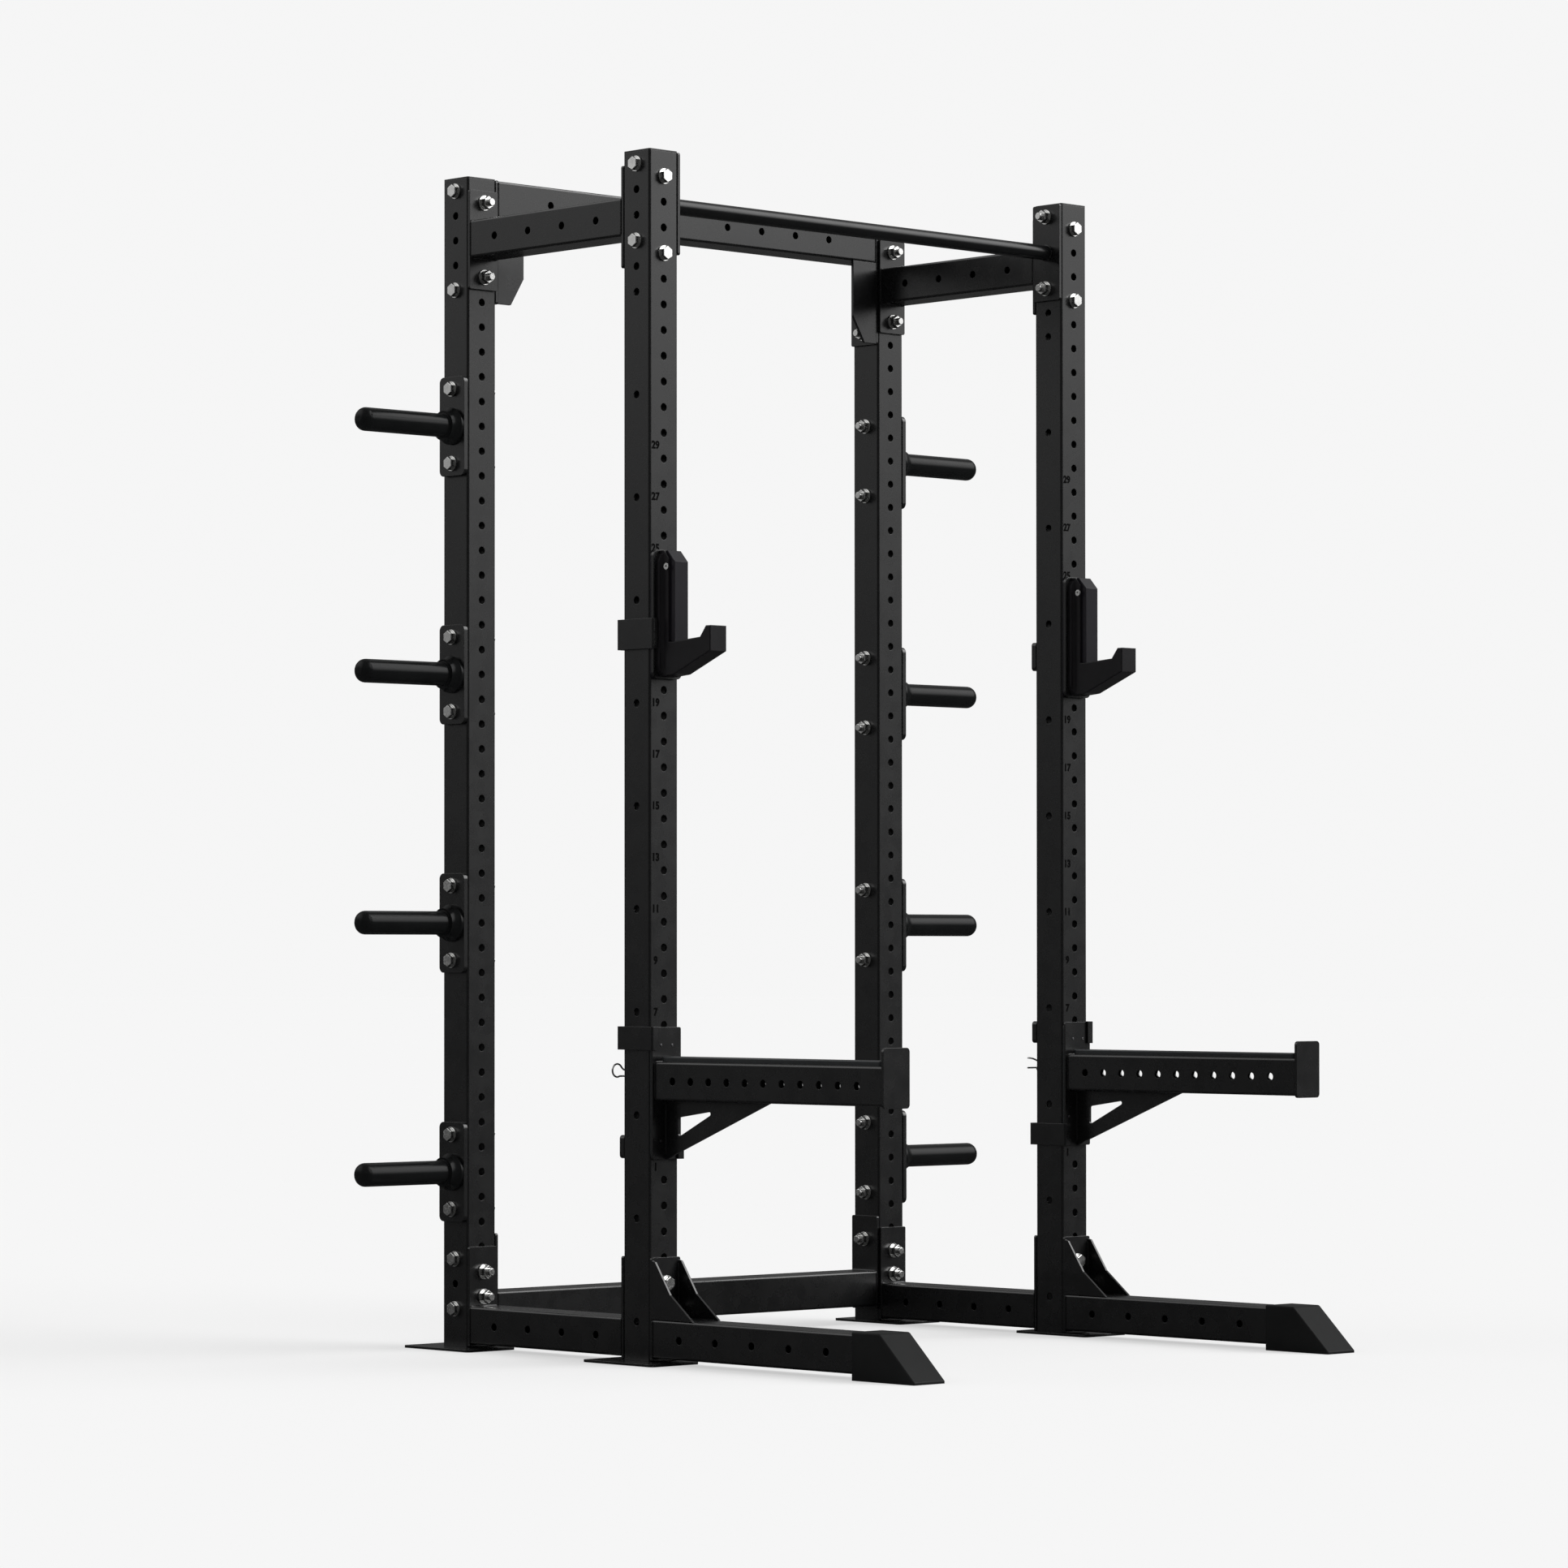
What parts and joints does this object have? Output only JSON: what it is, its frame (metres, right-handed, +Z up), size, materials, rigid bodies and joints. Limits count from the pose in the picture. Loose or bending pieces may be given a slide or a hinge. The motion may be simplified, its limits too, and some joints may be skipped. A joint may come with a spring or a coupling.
{
  "type": "power cage",
  "caption": "Square-tube power cage with pull-up bar, plate storage pegs, forward feet, rack cups and spotter arms hung in drilled uprights.",
  "frame": {"origin": "middle of the bounding box's underside, on the floor", "axes": "+Z up, -Y towards the feet, cups and arms where the lifter stands, +X to the lifter's right when facing the cage"},
  "size_m": [1.788, 1.409, 2.395],
  "materials": {
    "powder_coat": "matte black powder coat",
    "peg_coating": "satin black",
    "zinc_hardware": "bright zinc",
    "cup_plastic": "matte moulded",
    "liner_plastic": "matte sheet",
    "black_plastic": "matte moulded",
    "rubber": "matte"
  },
  "bodies": {
    "frame": {"base_plates": "powder_coat", "foot_bracket_left": "powder_coat", "foot_bracket_right": "powder_coat", "foot_cap_left": "rubber", "foot_cap_right": "rubber", "foot_tube_left": "powder_coat", "foot_tube_right": "powder_coat", "frame_bolts": "zinc_hardware", "frame_nuts": "zinc_hardware", "frame_washers": "zinc_hardware", "pull_up_bar": "powder_coat", "pull_up_bar_end_plates": "powder_coat", "rear_bottom_tube": "powder_coat", "rear_bottom_tube_end_plates": "powder_coat", "rear_top_beam": "powder_coat", "rear_top_beam_end_plates": "powder_coat", "rear_top_beam_gussets": "powder_coat", "side_base_tube_end_plates": "powder_coat", "side_base_tube_left": "powder_coat", "side_base_tube_right": "powder_coat", "side_top_tube_end_plates": "powder_coat", "side_top_tube_left": "powder_coat", "side_top_tube_right": "powder_coat", "storage_peg_collars": "peg_coating", "storage_peg_plates": "powder_coat", "storage_pegs_left": "peg_coating", "storage_pegs_right": "peg_coating", "upright_front_left": "powder_coat", "upright_front_right": "powder_coat", "upright_rear_left": "powder_coat", "upright_rear_right": "powder_coat", "upright_top_caps": "black_plastic"},
    "rack_cup_left": {"jcup_body_left": "cup_plastic", "jcup_pads_left": "liner_plastic", "jcup_pin_left": "zinc_hardware", "jcup_plate_left": "powder_coat", "jcup_screws_left": "zinc_hardware", "jcup_wrap_left": "powder_coat"},
    "rack_cup_right": {"jcup_body_right": "cup_plastic", "jcup_pads_right": "liner_plastic", "jcup_pin_right": "zinc_hardware", "jcup_plate_right": "powder_coat", "jcup_screws_right": "zinc_hardware", "jcup_wrap_right": "powder_coat"},
    "spotter_arm_left": {"spotter_arm_end_plate_left": "powder_coat", "spotter_arm_face_plate_left": "powder_coat", "spotter_arm_gusset_left": "powder_coat", "spotter_arm_liners_left": "liner_plastic", "spotter_arm_pin_left": "zinc_hardware", "spotter_arm_tube_left": "powder_coat", "spotter_arm_wraps_left": "powder_coat"},
    "spotter_arm_right": {"spotter_arm_end_plate_right": "powder_coat", "spotter_arm_face_plate_right": "powder_coat", "spotter_arm_gusset_right": "powder_coat", "spotter_arm_liners_right": "liner_plastic", "spotter_arm_pin_right": "zinc_hardware", "spotter_arm_tube_right": "powder_coat", "spotter_arm_wraps_right": "powder_coat"},
    "arm_clip_left": {"spotter_arm_pin_clip_left": "zinc_hardware"},
    "arm_clip_right": {"spotter_arm_pin_clip_right": "zinc_hardware"}
  },
  "joints": [
    {"name": "rack_cup_left_turn", "type": "hinge", "parent": "frame", "child": "rack_cup_left", "pos_m": [-0.5965, 0.02145, 1.5803], "axis": [0, 1, 0], "range_deg": [0, 90]},
    {"name": "spotter_arm_left_turn", "type": "hinge", "parent": "frame", "child": "spotter_arm_left", "pos_m": [-0.5965, 0.02145, 0.5643], "axis": [0, -1, 0], "range_deg": [0, 90]},
    {"name": "arm_clip_left_pull", "type": "slide", "parent": "spotter_arm_left", "child": "arm_clip_left", "axis": [-1, 0, 0], "range_m": [0, 0.055]},
    {"name": "rack_cup_right_turn", "type": "hinge", "parent": "frame", "child": "rack_cup_right", "pos_m": [0.5965, 0.02145, 1.5803], "axis": [0, -1, 0], "range_deg": [0, 90]},
    {"name": "spotter_arm_right_turn", "type": "hinge", "parent": "frame", "child": "spotter_arm_right", "pos_m": [0.5965, 0.02145, 0.5643], "axis": [0, 1, 0], "range_deg": [0, 90]},
    {"name": "arm_clip_right_pull", "type": "slide", "parent": "spotter_arm_right", "child": "arm_clip_right", "axis": [1, 0, 0], "range_m": [0, 0.055]}
  ]
}
